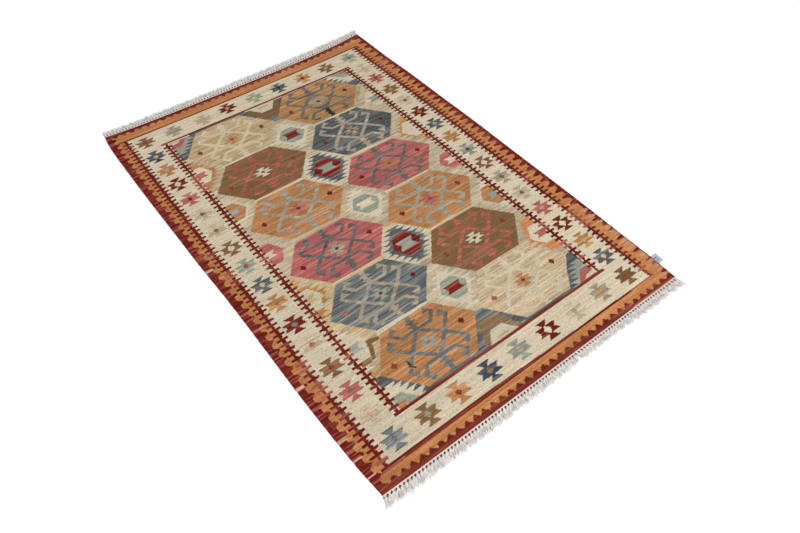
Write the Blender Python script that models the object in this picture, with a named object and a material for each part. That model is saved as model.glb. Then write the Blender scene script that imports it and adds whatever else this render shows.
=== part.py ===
"""Flat-woven wool rug with a knotted cotton fringe at each end and a small woven label.

Metres, +Z up.  The origin is on the floor under the middle of the rug.  +X runs across the
rug along its near end, and +Y runs along it from the near end to the far end.
"""
import math
from collections import namedtuple

import bmesh
import bpy

# ---------------------------------------------------------------- driving dimensions
WOOL_WIDTH = 1.200          # corner to corner across the woven cloth
WOOL_LENGTH = 1.800         # corner to corner along it
WOOL_THICKNESS = 0.003
PIECE_GAP = 0.0003          # clear space between pieces that lie face to face

CELLS_ACROSS = 24           # the slab's cells, counted along each end
CELLS_ALONG = 36            # and along each side

HEADER_WIDTH = 0.004        # twined cotton strip that the fringe hangs from
HEADER_THICKNESS = 0.003
TASSELS_PER_END = 95
ROOT_WIDTH = 0.0045
KNOT_DISTANCE = 0.0095      # header to the middle of the knot
KNOT_WIDTH = 0.0058
KNOT_HEIGHT = 0.0046
NECK_DISTANCE = 0.0145      # header to the neck below the knot
NECK_WIDTH = 0.0038
NECK_HEIGHT = 0.0030
TIP_WIDTH = 0.0078
TIP_HEIGHT = 0.0018

LEAN_CURVE = 1.3            # 1 is a straight tassel, more bends it towards its tip
SLOW_SWAY = 0.0015          # on top of their lean the tassels sway in long waves
SLOW_STEP = 0.35            # radians from one tassel to the next
QUICK_SWAY = 0.0007         # and a little one by one
QUICK_STEP = 1.9
LENGTH_SPREAD = 0.0030
LENGTH_STEP = 2.3

LABEL_START = 0.068         # near corner to the label's near end, along the right side
LABEL_WIDTH = 0.040
LABEL_REACH = 0.027         # how far it stands out from the rug's side
LABEL_THICKNESS = 0.0012
LABEL_CELLS = 4
LABEL_TAPER = 0.0030        # its free edge is narrower by this much at each corner

# The sides bow outwards by a few millimetres, unevenly, and draw in at the corners.
SideRow = namedtuple("SideRow", "along left_out right_out")
SIDES = (
    SideRow(0.00, 0.0025, 0.0040),
    SideRow(0.05, 0.0090, 0.0090),
    SideRow(0.12, 0.0130, 0.0105),
    SideRow(0.22, 0.0145, 0.0135),
    SideRow(0.32, 0.0125, 0.0150),
    SideRow(0.44, 0.0115, 0.0150),
    SideRow(0.56, 0.0150, 0.0165),
    SideRow(0.66, 0.0155, 0.0140),
    SideRow(0.78, 0.0160, 0.0120),
    SideRow(0.88, 0.0145, 0.0060),
    SideRow(0.96, 0.0110, 0.0055),
    SideRow(1.00, 0.0030, 0.0040),
)

# The near end is almost straight.  The far end is pulled in between its corners.
EndRow = namedtuple("EndRow", "across near_in far_in tassel_near tassel_far")
ENDS = (
    EndRow(0.00, 0.0010, -0.0035, 0.036, 0.036),
    EndRow(0.05, 0.0000, 0.0035, 0.040, 0.038),
    EndRow(0.10, -0.0005, 0.0090, 0.041, 0.039),
    EndRow(0.18, -0.0005, 0.0135, 0.040, 0.042),
    EndRow(0.30, -0.0005, 0.0180, 0.041, 0.044),
    EndRow(0.42, -0.0005, 0.0205, 0.039, 0.045),
    EndRow(0.55, -0.0005, 0.0230, 0.036, 0.047),
    EndRow(0.75, -0.0005, 0.0245, 0.035, 0.048),
    EndRow(0.84, -0.0005, 0.0200, 0.038, 0.047),
    EndRow(0.92, -0.0010, 0.0135, 0.040, 0.044),
    EndRow(0.97, -0.0010, 0.0065, 0.041, 0.042),
    EndRow(1.00, -0.0010, 0.0005, 0.040, 0.041),
)

# The fringe has been brushed aside as it lay down: how far each tip is off to the right.
LeanRow = namedtuple("LeanRow", "across near far")
LEANS = (
    LeanRow(0.00, -0.018, 0.002),
    LeanRow(0.03, -0.022, 0.002),
    LeanRow(0.06, -0.020, 0.002),
    LeanRow(0.12, -0.018, 0.002),
    LeanRow(0.21, -0.014, 0.002),
    LeanRow(0.35, -0.016, 0.006),
    LeanRow(0.45, -0.011, 0.014),
    LeanRow(0.52, -0.011, 0.017),
    LeanRow(0.59, -0.017, 0.020),
    LeanRow(0.61, 0.013, 0.020),
    LeanRow(0.69, -0.003, 0.020),
    LeanRow(0.76, -0.009, 0.021),
    LeanRow(0.82, -0.007, 0.024),
    LeanRow(0.92, -0.015, 0.022),
    LeanRow(0.94, -0.016, 0.021),
    LeanRow(0.96, 0.011, 0.019),
    LeanRow(1.00, 0.003, 0.015),
)


# ---------------------------------------------------------------- helpers
def clear_scene():
    """Remove whatever the opened file holds."""
    for old in list(bpy.data.objects):
        bpy.data.objects.remove(old, do_unlink=True)


def read_rows(rows, column, share):
    """Read one column of a table at a share from 0 to 1, as a smooth curve through its rows."""
    places = [row[0] for row in rows]
    values = [getattr(row, column) for row in rows]
    last = len(rows) - 1
    index = 0
    while index < last - 1 and share > places[index + 1]:
        index += 1
    before = max(index - 1, 0)
    after = min(index + 2, last)
    span = places[index + 1] - places[index]
    slope_in = (values[index + 1] - values[before]) / (places[index + 1] - places[before])
    slope_out = (values[after] - values[index]) / (places[after] - places[index])
    t = (share - places[index]) / span
    keep = 2 * t**3 - 3 * t**2 + 1
    rise_in = (t**3 - 2 * t**2 + t) * span
    rise_out = (t**3 - t**2) * span
    return (
        keep * values[index]
        + (1 - keep) * values[index + 1]
        + rise_in * slope_in
        + rise_out * slope_out
    )


def cloth_point(across, along):
    """Place on the cloth, seen from above, for shares across and along it from 0 to 1."""
    left = -WOOL_WIDTH / 2 - read_rows(SIDES, "left_out", along)
    right = WOOL_WIDTH / 2 + read_rows(SIDES, "right_out", along)
    near = -WOOL_LENGTH / 2 + read_rows(ENDS, "near_in", across)
    far = WOOL_LENGTH / 2 - read_rows(ENDS, "far_in", across)
    return (
        left + (right - left) * across,
        near + (far - near) * along,
    )


def between(points, axis, place):
    """Point at a place on one axis of a chain of points, which the slab's edge also follows."""
    for first, second in zip(points, points[1:]):
        if place <= second[axis]:
            break
    share = (place - first[axis]) / (second[axis] - first[axis])
    return tuple(a + (b - a) * share for a, b in zip(first, second))


def add_material(piece, name, color, roughness):
    """Give a piece its own plain cloth finish."""
    finish = bpy.data.materials.new(name)
    finish.use_nodes = True
    shader = finish.node_tree.nodes["Principled BSDF"]
    shader.inputs["Base Color"].default_value = (*color, 1.0)
    shader.inputs["Roughness"].default_value = roughness
    shader.inputs["Metallic"].default_value = 0.0
    finish.diffuse_color = (*color, 1.0)
    piece.data.materials.append(finish)


def add_piece(name, shape, color, roughness):
    """Turn a finished bmesh into a named object with its finish."""
    bmesh.ops.recalc_face_normals(shape, faces=shape.faces)
    mesh = bpy.data.meshes.new(name)
    shape.to_mesh(mesh)
    shape.free()
    piece = bpy.data.objects.new(name, mesh)
    bpy.context.scene.collection.objects.link(piece)
    add_material(piece, f"{name}_finish", color, roughness)
    return piece


def join_rings(shape, first, second):
    """Close the wall between two rings of four points."""
    for corner in range(4):
        following = (corner + 1) % 4
        shape.faces.new((first[corner], first[following], second[following], second[corner]))


# ---------------------------------------------------------------- woven cloth
def make_cloth():
    """One flat slab with the uneven outline of a hand-woven rug."""
    shape = bmesh.new()
    levels = []
    for height in (0.0, WOOL_THICKNESS):
        level = [
            [
                shape.verts.new((*cloth_point(i / CELLS_ACROSS, j / CELLS_ALONG), height))
                for i in range(CELLS_ACROSS + 1)
            ]
            for j in range(CELLS_ALONG + 1)
        ]
        levels.append(level)
        for j in range(CELLS_ALONG):
            for i in range(CELLS_ACROSS):
                shape.faces.new((level[j][i], level[j][i + 1], level[j + 1][i + 1], level[j + 1][i]))
    rims = []
    for level in levels:
        rim = level[0][:-1] + [row[-1] for row in level[:-1]]
        rim += level[-1][:0:-1] + [row[0] for row in level[:0:-1]]
        rims.append(rim)
    count = len(rims[0])
    for i in range(count):
        after = (i + 1) % count
        shape.faces.new((rims[0][i], rims[0][after], rims[1][after], rims[1][i]))
    return add_piece("rug", shape, (0.48, 0.27, 0.15), 0.95)


# ---------------------------------------------------------------- knotted fringe
def header_section(shape, edge, x, outward):
    """Four points of the header's section: inner bottom, inner top, outer top, outer bottom."""
    inner = between(edge, 0, x)[1] + outward * PIECE_GAP
    outer = inner + outward * HEADER_WIDTH
    return [
        shape.verts.new((x, inner, 0.0)),
        shape.verts.new((x, inner, HEADER_THICKNESS)),
        shape.verts.new((x, outer, HEADER_THICKNESS)),
        shape.verts.new((x, outer, 0.0)),
    ]


def tassel_ring(shape, x, y, width, height):
    """Four points across a tassel, lying on the floor."""
    return [
        shape.verts.new((x - width / 2, y, 0.0)),
        shape.verts.new((x - width / 2, y, height)),
        shape.verts.new((x + width / 2, y, height)),
        shape.verts.new((x + width / 2, y, 0.0)),
    ]


def grow_tassel(shape, root, outward, length, lean):
    """Lead one tassel out of the header's outer side: knot, neck and spread tip."""
    x = (root[0].co.x + root[3].co.x) / 2
    y = (root[0].co.y + root[3].co.y) / 2
    stations = (
        (KNOT_DISTANCE, KNOT_WIDTH, KNOT_HEIGHT),
        (NECK_DISTANCE, NECK_WIDTH, NECK_HEIGHT),
        (length, TIP_WIDTH, TIP_HEIGHT),
    )
    ring = root
    for distance, width, height in stations:
        aside = lean * (distance / length) ** LEAN_CURVE
        following = tassel_ring(shape, x + aside, y + outward * distance, width, height)
        join_rings(shape, ring, following)
        ring = following
    shape.faces.new(ring)


def make_fringe(name, along, length_column, lean_column):
    """Header strip with its row of tassels, along one end of the cloth."""
    outward = -1 if along == 0 else 1
    edge = [cloth_point(i / CELLS_ACROSS, along) for i in range(CELLS_ACROSS + 1)]
    start = edge[0][0]
    pitch = (edge[-1][0] - start) / TASSELS_PER_END
    shape = bmesh.new()
    section = header_section(shape, edge, start, outward)
    shape.faces.new(section)
    for i in range(TASSELS_PER_END):
        middle = start + (i + 0.5) * pitch
        before_root = header_section(shape, edge, middle - ROOT_WIDTH / 2, outward)
        after_root = header_section(shape, edge, middle + ROOT_WIDTH / 2, outward)
        join_rings(shape, section, before_root)
        for corner in (0, 1, 3):
            following = (corner + 1) % 4
            shape.faces.new((
                before_root[corner], before_root[following],
                after_root[following], after_root[corner],
            ))
        root = [before_root[3], before_root[2], after_root[2], after_root[3]]
        across = (i + 0.5) / TASSELS_PER_END
        length = read_rows(ENDS, length_column, across)
        length += LENGTH_SPREAD * math.sin(LENGTH_STEP * i)
        lean = read_rows(LEANS, lean_column, across)
        lean += SLOW_SWAY * math.sin(SLOW_STEP * i) + QUICK_SWAY * math.sin(QUICK_STEP * i)
        grow_tassel(shape, root, outward, length, lean)
        section = after_root
    last = header_section(shape, edge, edge[-1][0], outward)
    join_rings(shape, section, last)
    shape.faces.new(last)
    return add_piece(name, shape, (0.78, 0.76, 0.72), 0.9)


# ---------------------------------------------------------------- label
def make_label():
    """Small folded ribbon that stands out of the right side, flat on the floor."""
    edge = [cloth_point(1.0, j / CELLS_ALONG) for j in range(CELLS_ALONG + 1)]
    near = -WOOL_LENGTH / 2 + LABEL_START
    shape = bmesh.new()
    rings = []
    for i in range(LABEL_CELLS + 1):
        share = i / LABEL_CELLS
        y = near + share * LABEL_WIDTH
        inner = between(edge, 1, y)[0] + PIECE_GAP
        free_y = y + LABEL_TAPER * (1 - 2 * share)
        rings.append([
            shape.verts.new((inner, y, 0.0)),
            shape.verts.new((inner, y, LABEL_THICKNESS)),
            shape.verts.new((inner + LABEL_REACH, free_y, LABEL_THICKNESS)),
            shape.verts.new((inner + LABEL_REACH, free_y, 0.0)),
        ])
    for first, second in zip(rings, rings[1:]):
        join_rings(shape, first, second)
    shape.faces.new(rings[0])
    shape.faces.new(rings[-1])
    return add_piece("label", shape, (0.68, 0.74, 0.82), 0.5)


clear_scene()
make_cloth()
make_fringe("fringe_near", 0, "tassel_near", "near")
make_fringe("fringe_far", 1, "tassel_far", "far")
make_label()
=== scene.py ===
# %% [markdown]
# # A flat-woven kilim rug
#
# The object is one cloth of wool, woven in slit tapestry, with a knotted cotton fringe at each end
# and a small folded ribbon at one side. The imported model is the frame: it says where everything is.
# This script puts the real surfaces around it: the pattern, the weave, the yarns and the light.

# %% Load the frame
import math
import random

import bmesh
import bpy
import numpy as np
from mathutils import Matrix, Vector


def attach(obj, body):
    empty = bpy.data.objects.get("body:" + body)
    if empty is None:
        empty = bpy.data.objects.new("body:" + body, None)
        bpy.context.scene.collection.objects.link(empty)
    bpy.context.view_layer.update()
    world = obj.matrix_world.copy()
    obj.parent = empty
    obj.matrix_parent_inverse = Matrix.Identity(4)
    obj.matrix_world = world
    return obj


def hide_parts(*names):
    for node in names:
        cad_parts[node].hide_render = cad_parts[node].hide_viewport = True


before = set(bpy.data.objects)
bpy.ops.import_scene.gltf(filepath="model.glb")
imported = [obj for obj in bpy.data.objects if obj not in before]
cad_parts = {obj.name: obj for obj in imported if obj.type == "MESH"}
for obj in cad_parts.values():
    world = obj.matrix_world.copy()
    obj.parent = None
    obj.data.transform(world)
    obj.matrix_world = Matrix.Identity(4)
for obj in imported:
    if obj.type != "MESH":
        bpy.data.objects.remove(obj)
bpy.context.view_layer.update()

print("frame nodes:", sorted(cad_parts))

# %% [markdown]
# ## The outline
#
# A hand-woven rug is never a true rectangle. The sides bow out a little and the far end is pulled
# in between its corners. The frame was built from these same rows, so the cloth made here ends
# where its solid does. Each row is a share of the way along an edge and some distances in metres,
# and a smooth curve runs through the rows.

# %% Edge curves
WIDTH = 1.200
LENGTH = 1.800
THICKNESS = 0.0027

# share along the side, then how far the left and the right side bow out
SIDE_ROWS = (
    (0.00, 0.0025, 0.0040), (0.05, 0.0090, 0.0090), (0.12, 0.0130, 0.0105),
    (0.22, 0.0145, 0.0135), (0.32, 0.0125, 0.0150), (0.44, 0.0115, 0.0150),
    (0.56, 0.0150, 0.0165), (0.66, 0.0155, 0.0140), (0.78, 0.0160, 0.0120),
    (0.88, 0.0145, 0.0060), (0.96, 0.0110, 0.0055), (1.00, 0.0030, 0.0040),
)
# share across the end, then how far the near and far ends are pulled in, and the tassel lengths
END_ROWS = (
    (0.00, 0.0010, -0.0035, 0.036, 0.036), (0.05, 0.0000, 0.0035, 0.040, 0.038),
    (0.10, -0.0005, 0.0090, 0.041, 0.039), (0.18, -0.0005, 0.0135, 0.040, 0.042),
    (0.30, -0.0005, 0.0180, 0.041, 0.044), (0.42, -0.0005, 0.0205, 0.039, 0.045),
    (0.55, -0.0005, 0.0230, 0.036, 0.047), (0.75, -0.0005, 0.0245, 0.035, 0.048),
    (0.84, -0.0005, 0.0200, 0.038, 0.047), (0.92, -0.0010, 0.0135, 0.040, 0.044),
    (0.97, -0.0010, 0.0065, 0.041, 0.042), (1.00, -0.0010, 0.0005, 0.040, 0.041),
)
LEFT_OUT, RIGHT_OUT = 1, 2
NEAR_IN, FAR_IN, TASSEL_NEAR, TASSEL_FAR = 1, 2, 3, 4


def read_rows(rows, column, share):
    """Read one column at a share from 0 to 1, as a smooth curve through its rows."""
    places = np.array([row[0] for row in rows])
    values = np.array([row[column] for row in rows])
    slopes = np.empty_like(values)
    slopes[1:-1] = (values[2:] - values[:-2]) / (places[2:] - places[:-2])
    slopes[0] = (values[1] - values[0]) / (places[1] - places[0])
    slopes[-1] = (values[-1] - values[-2]) / (places[-1] - places[-2])
    share = np.clip(share, 0.0, 1.0)
    i = np.clip(np.searchsorted(places, share) - 1, 0, len(rows) - 2)
    span = places[i + 1] - places[i]
    t = (share - places[i]) / span
    keep = 2 * t**3 - 3 * t**2 + 1
    return (
        keep * values[i] + (1 - keep) * values[i + 1]
        + (t**3 - 2 * t**2 + t) * span * slopes[i] + (t**3 - t**2) * span * slopes[i + 1]
    )


deepest = max(row[FAR_IN] for row in END_ROWS)
print(f"far end pulled in by up to {1000 * deepest:.1f} mm")

# %% [markdown]
# ## The chart
#
# A weaver works from a chart: warp threads run along the rug and are counted across it, and the
# coloured weft is beaten down row by row. The chart here is the same thing, a grid with one
# column for each rib of the cloth and one row for each few passes of weft. A motif is drawn as a
# polygon in millimetres, and a cell takes its yarn when the cell's middle is inside. That is why
# a slanting edge comes out as small steps, as it does on a loom.

# %% Yarns and the empty chart
RIB = 4.0                  # millimetres from one rib to the next
PASS = 1.5                 # millimetres of weft in a chart row
CHART_WIDTH = 1200.0
CHART_LENGTH = 1800.0
COLUMNS = round(CHART_WIDTH / RIB)
ROWS = round(CHART_LENGTH / PASS)

# Each yarn: its colour as seen in daylight, 0 to 255, and how streaky its dyeing is, 0 to 1.
YARNS = {
    "cream": ((207, 193, 166), 0.20),
    "ivory": ((212, 199, 173), 0.22),
    "sand": ((192, 167, 128), 0.50),
    "tan": ((207, 184, 149), 0.50),
    "straw": ((204, 184, 145), 0.35),
    "faint": ((196, 180, 151), 0.45),
    "stone": ((190, 172, 143), 0.45),
    "oat": ((166, 153, 135), 0.45),
    "flax": ((161, 151, 130), 0.45),
    "bone": ((214, 196, 165), 0.30),
    "fawn": ((180, 156, 126), 0.45),
    "drab": ((158, 146, 122), 0.45),
    "blush": ((202, 156, 134), 0.40),
    "apricot": ((190, 126, 78), 0.35),
    "orange": ((182, 128, 83), 0.50),
    "amber": ((171, 127, 84), 0.45),
    "ochre": ((184, 136, 80), 0.55),
    "rust": ((142, 66, 40), 0.45),
    "rose": ((176, 100, 95), 0.55),
    "coral": ((164, 94, 79), 0.45),
    "brick": ((126, 54, 40), 0.60),
    "madder": ((112, 36, 26), 0.45),
    "wine": ((118, 34, 24), 0.85),
    "garnet": ((106, 30, 22), 0.50),
    "olive": ((130, 96, 63), 0.35),
    "khaki": ((138, 113, 82), 0.50),
    "sage": ((152, 156, 140), 0.40),
    "mist": ((154, 159, 150), 0.40),
    "pewter": ((109, 104, 96), 0.60),
    "steel": ((112, 120, 118), 0.65),
    "denim": ((105, 110, 110), 0.95),
    "slate": ((95, 99, 99), 0.80),
    "indigo": ((66, 76, 84), 0.60),
    "mauve": ((113, 102, 98), 0.55),
    "soot": ((56, 50, 42), 0.20),
}
YARN_NAMES = list(YARNS)
yarn_chart = np.zeros((ROWS, COLUMNS), dtype=np.int32)
skein_chart = np.zeros((ROWS, COLUMNS), dtype=np.int32)
column_middles = (np.arange(COLUMNS) + 0.5) * RIB
row_middles = (np.arange(ROWS) + 0.5) * PASS
# how many skeins were started, the part of the chart that is open, and the figure being fitted
loom = {"skeins": 0, "window": None, "fit": None}

# Where one colour meets the next, the weaver turns the weft a thread early or late.
TURN_ROWS, TURN_RIBS = 2, 6
TURN_STRAY = 1.7           # millimetres
LOOK_ROUND = 4.0           # millimetres beyond a shape in which cells are still looked at
HALF_HEIGHT = 116.0        # millimetres from the middle of an even large hexagon to each flat
turn_dice = np.random.default_rng(3)
turns = turn_dice.uniform(-TURN_STRAY, TURN_STRAY, (ROWS // TURN_ROWS, COLUMNS // TURN_RIBS))
turns = turns.repeat(TURN_ROWS, axis=0).repeat(TURN_RIBS, axis=1)
eye_x = column_middles[None, :] + turns
eye_y = np.broadcast_to(row_middles[:, None], eye_x.shape)


def new_skeins():
    """Start a fresh skein of every yarn, as a weaver does for each motif."""
    loom["skeins"] += 1


def lay_skein(yarn, along, across, inside):
    """Lay the current skein of a yarn over the chosen cells of one part of the chart."""
    number = YARN_NAMES.index(yarn)
    yarn_chart[along, across][inside] = number
    skein_chart[along, across][inside] = loom["skeins"] * len(YARNS) + number


def fitted(corners, x, middle, near, far, tilt):
    """Stretch an even large hexagon so that its near and far flats come out right."""
    above = corners[:, 1] - middle
    room = np.where(above > 0, far - middle, middle - near)
    y = middle + above * room / HALF_HEIGHT + tilt * (corners[:, 0] - x)
    return np.column_stack((corners[:, 0], y))


def weave(yarn, corners):
    """Weave a polygon: a cell takes the yarn when the cell's middle is inside the corners."""
    corners = np.array(corners, dtype=float)
    if loom["fit"]:
        corners = fitted(corners, *loom["fit"])
    if loom["window"]:
        left, right, near, far = loom["window"]
        corners = corners.clip((left, near), (right, far))
    low, high = corners.min(axis=0) - LOOK_ROUND, corners.max(axis=0) + LOOK_ROUND
    across = slice(*np.searchsorted(column_middles, (low[0], high[0])))
    along = slice(*np.searchsorted(row_middles, (low[1], high[1])))
    x, y = eye_x[along, across], eye_y[along, across]
    inside = np.zeros(x.shape, dtype=bool)
    for (x1, y1), (x2, y2) in zip(corners, np.roll(corners, -1, axis=0)):
        if y1 != y2:
            crossing = (y1 > y) != (y2 > y)
            inside ^= crossing & (x < (x2 - x1) * (y - y1) / (y2 - y1) + x1)
    lay_skein(yarn, along, across, inside)


def block(yarn, left, right, near, far):
    """A plain rectangle of one yarn, with straight edges."""
    across = slice(*np.searchsorted(column_middles, (left, right)))
    along = slice(*np.searchsorted(row_middles, (near, far)))
    lay_skein(yarn, along, across, slice(None))


print(f"chart: {COLUMNS} ribs by {ROWS} rows")

# %% [markdown]
# ### Mirrors
#
# Nearly every kilim motif is the same left and right, and the same near and far. So a motif is
# written as one quarter of its outline, and a helper reflects it. Small marks that come in twos or
# fours, such as hooks, are reflected one by one.

# %% Mirror helpers
def whole(quarter):
    """Close a quarter outline, given from the cross axis to the long axis, into a full one."""
    back = quarter[::-1]
    return (
        list(quarter)
        + [(-x, y) for x, y in back]
        + [(-x, -y) for x, y in quarter]
        + [(x, -y) for x, y in back]
    )


def motif(x, y, yarn, quarter):
    """A motif that is symmetric both ways, about a place on the chart."""
    weave(yarn, [(x + u, y + v) for u, v in whole(quarter)])


QUARTERS = ((1, 1), (1, -1), (-1, 1), (-1, -1))


def four(x, y, yarns, outline):
    """The same mark in the quarters far right, near right, far left and near left of a place."""
    for yarn, (flip_x, flip_y) in zip(yarns, QUARTERS):
        weave(yarn, [(x + flip_x * u, y + flip_y * v) for u, v in outline])


def bar(start, end, width):
    """Outline of a straight bar between two points."""
    start, end = Vector(start), Vector(end)
    side = (end - start).normalized().orthogonal() * (width / 2)
    return [start + side, end + side, end - side, start - side]


print("a quarter of 4 corners makes", len(whole(((3, 0), (2, 1), (1, 2), (0, 3)))), "corners")

# %% [markdown]
# ### Border
#
# From the edge inwards: a dark red band with teeth, an apricot band, a dark red comb along each
# side (a line at each end), a cream band with stars, and a second comb and line around the field.

# %% Places of the bands and their marks
FAR_BAND = 1784.0
CREAM_NEAR, CREAM_FAR = 52.0, 1723.0
CREAM_LEFT, CREAM_RIGHT = 53.0, 1143.0
OUTER_COMB_NEAR = 60.0
FIELD_NEAR, FIELD_FAR = 169.0, 1612.0
FIELD_LEFT, FIELD_RIGHT = 184.0, 1012.0
OUTER_COMBS = (53.5, 1143.0)
INNER_COMBS = (174.5, 1021.5)
# where every tenth mark of a row was woven, along the rug for the sides and combs
OUTER_LEFT_TICKS = (56, 268, 489, 703, 903, 1118, 1321, 1518, 1721)
INNER_LEFT_TICKS = (165, 380, 594, 801, 1011, 1221, 1421, 1613)
INNER_RIGHT_TICKS = (180, 394, 598, 814, 1015, 1209, 1402, 1605)
OUTER_RIGHT_TICKS = (68, 272, 480, 694, 903, 1103, 1292, 1490, 1695, 1890)
LEFT_TEETH = (52, 438, 814, 1171, 1516, 1860)
RIGHT_TEETH = (41, 405, 776, 1113, 1449, 1860)
NEAR_TEETH = (49, 371, 712, 1055, 1390)
FAR_TEETH = (35, 368, 705, 1042, 1378)
BRICK_NEAR_TEETH = (11, 12, 19, 20, 21, 22, 26, 27, 28, 31, 32)
# half the width of a comb's spine, half a tick's height, half its length, and how far past the
# middle of a tick a pale gap goes on
SPINE, TICK, TICK_REACH, PALE_GAP = 5.2, 4.6, 18.0, 17.0


def places(every_tenth, last):
    """Places of all the marks in a row, up to the last."""
    count = 10 * (len(every_tenth) - 1) + 1
    marks = np.interp(np.arange(count) / 10, range(len(every_tenth)), every_tenth)
    return marks[marks < last]


print("teeth in the left band:", len(places(LEFT_TEETH, CHART_LENGTH)))

# %% Teeth, bars and combs
def end_tooth(x, base, direction, yarn):
    """A stepped tooth that points from an end band towards the field."""
    shape = ((-15, 0), (-13, 4), (-9, 8), (-5, 13), (0, 17), (5, 13), (9, 8), (13, 4), (15, 0))
    weave(yarn, [(x + u, base + direction * v) for u, v in shape])


def side_tooth(base, y, reach, yarn):
    """A blunt tooth that points from a side band towards the field."""
    weave(yarn, ((base, y - 16), (base + 0.55 * reach, y - 9), (base + 0.9 * reach, y - 5),
                 (base + reach, y), (base + 0.8 * reach, y + 5), (base + 0.5 * reach, y + 9),
                 (base, y + 16)))


def bar_across(yarn, left, right, near, far):
    """A bar with hand-made edges."""
    weave(yarn, ((left, near), (right, near), (right, far), (left, far)))


def comb(x, near, far, ticks, pale):
    """A spine with a tick across it every few passes. Pale stretches take a fainter yarn."""
    new_skeins()
    bar_across("garnet", x - SPINE, x + SPINE, near, far)
    for y in places(ticks, far - 6)[1:]:
        faded = any(start < y < end for start, end in pale)
        yarn = "coral" if faded else "garnet"
        bar_across(yarn, x - TICK_REACH, x + TICK_REACH, y - TICK, y + TICK)
        if faded:
            bar_across("rust", x - SPINE, x + SPINE, y + TICK, y + PALE_GAP)


# %% Side bands
block("apricot", 0, CHART_WIDTH, 0, CHART_LENGTH)
block("wine", 0, 20, 0, CHART_LENGTH)
block("wine", 1188, CHART_WIDTH, 300, CHART_LENGTH)
for number, y in enumerate(places(LEFT_TEETH, CHART_LENGTH)):
    side_tooth(12, y, 21, "brick" if number % 9 == 5 else "wine")
for number, y in enumerate(places(RIGHT_TEETH, CHART_LENGTH)[11:]):
    side_tooth(1196, y, -29, "brick" if number % 7 == 6 else "wine")
# short stretches of the left band that were woven from other yarns
for yarn, near, far in (
    ("blush", 58, 63), ("blush", 118, 124), ("rust", 124, 130), ("blush", 186, 198),
    ("blush", 395, 407), ("brick", 538, 550), ("blush", 945, 955), ("rust", 1010, 1020),
):
    bar_across(yarn, 0, 24, near, far)
# the near part of the right band is uneven: thin streaks, pale bars and teeth of many lengths
streak_dice = random.Random(5)
for y in range(64, 304, 12):
    start = streak_dice.uniform(1168, 1190)
    tall = streak_dice.uniform(1.5, 5.0)
    yarn = streak_dice.choice(("blush", "blush", "coral", "wine"))
    bar_across(yarn, start, CHART_WIDTH, y, y + tall)
block("brick", 1195, CHART_WIDTH, 60, 300)
for y in (31, 52, 97, 126, 192, 264, 285, 318, 354, 390):
    bar_across("blush", 1177, 1196, y - 4, y + 4)
for yarn, tip, y in (
    ("wine", 1176, 39), ("coral", 1180, 82), ("wine", 1190, 104), ("wine", 1170, 153),
    ("wine", 1170, 226), ("brick", 1180, 270), ("brick", 1180, 300), ("wine", 1168, 336),
    ("wine", 1168, 373),
):
    weave(yarn, ((CHART_WIDTH, y - 9), (tip + 8, y - 5), (tip, y), (tip + 8, y + 5),
                 (CHART_WIDTH, y + 9)))
print("side bands laid, skeins used:", loom["skeins"])

# %% End bands
weave("brick", ((0, 0), (CHART_WIDTH, 0), (CHART_WIDTH, 26), (1186, 22), (1170, 11), (1000, 11),
                (900, 13), (36, 15), (18, 29), (0, 34)))
block("madder", 0, CHART_WIDTH, FAR_BAND, CHART_LENGTH)
near_teeth = places(NEAR_TEETH, CHART_WIDTH)
for number, x in enumerate(near_teeth):
    end_tooth(x, 13 if x < 1000 else 8, 1, "brick" if number in BRICK_NEAR_TEETH else "madder")
bar_across("coral", 1000, 1190, 0, 4)
far_teeth = places(FAR_TEETH, CHART_WIDTH)
for number, x in enumerate(far_teeth):
    end_tooth(x, FAR_BAND, -1, ("madder", "brick", "madder", "rust")[number * 7 % 4])
print("end teeth, near and far:", len(near_teeth), len(far_teeth))

# %% Cream band, with its lines and combs
block("cream", CREAM_LEFT, CREAM_RIGHT, CREAM_NEAR, CREAM_FAR)
bar_across("coral", 1040, 1156, 48, 52)
weave("madder", ((34, 47), (1044, 46), (1044, 52.5), (870, 54.5), (690, 55), (600, 57), (510, 58.5),
                 (420, 60), (34, 60)))
bar_across("brick", 34, 300, 47, 52)
bar_across("coral", 38, 110, 47.5, 52.5)
bar_across("rust", 300, 700, 51.5, 54)
block("madder", 34, 1156, CREAM_FAR, 1731)
for x, ticks, pale in zip(OUTER_COMBS, (OUTER_LEFT_TICKS, OUTER_RIGHT_TICKS), (
    ((60, 90), (330, 380), (430, 470), (880, 905)),
    ((60, 100), (330, 420), (455, 480), (620, 650)),
)):
    comb(x, OUTER_COMB_NEAR, CREAM_FAR, ticks, pale)
bar_across("rust", 1137, 1149, 53, 84)

# the lines round the field, and the field's own ground
block("brick", 162, 1042, 158.5, FIELD_NEAR)
block("madder", 162, 420, 160, 163.5)
block("madder", 156, 1040, FIELD_FAR, 1621)
block("cream", 162, 1034, FIELD_NEAR, FIELD_FAR)
print("border laid, skeins used:", loom["skeins"])

# %% [markdown]
# ### Border stars
#
# The cream band carries small eight-pointed stars, each in two yarns. No two that are side by side
# match. They are listed in weaving order, with the place where each one was begun.

# %% Stars
BORDER_STAR = ((28, 0), (41.4, 15), (5.5, 16.5), (23.5, 34.5))
STAR_CORE = ((11.5, 0), (0, 12))
OPEN_CORE = ((15, 0), (0, 17))


def star(x, y, yarn, core, size):
    """A border star with a diamond in its middle."""
    new_skeins()
    motif(x, y, yarn, [(u * size, v * size) for u, v in BORDER_STAR])
    heart = OPEN_CORE if core in ("cream", "ivory") else STAR_CORE
    motif(x, y, core, [(u * size, v * size) for u, v in heart])


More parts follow.
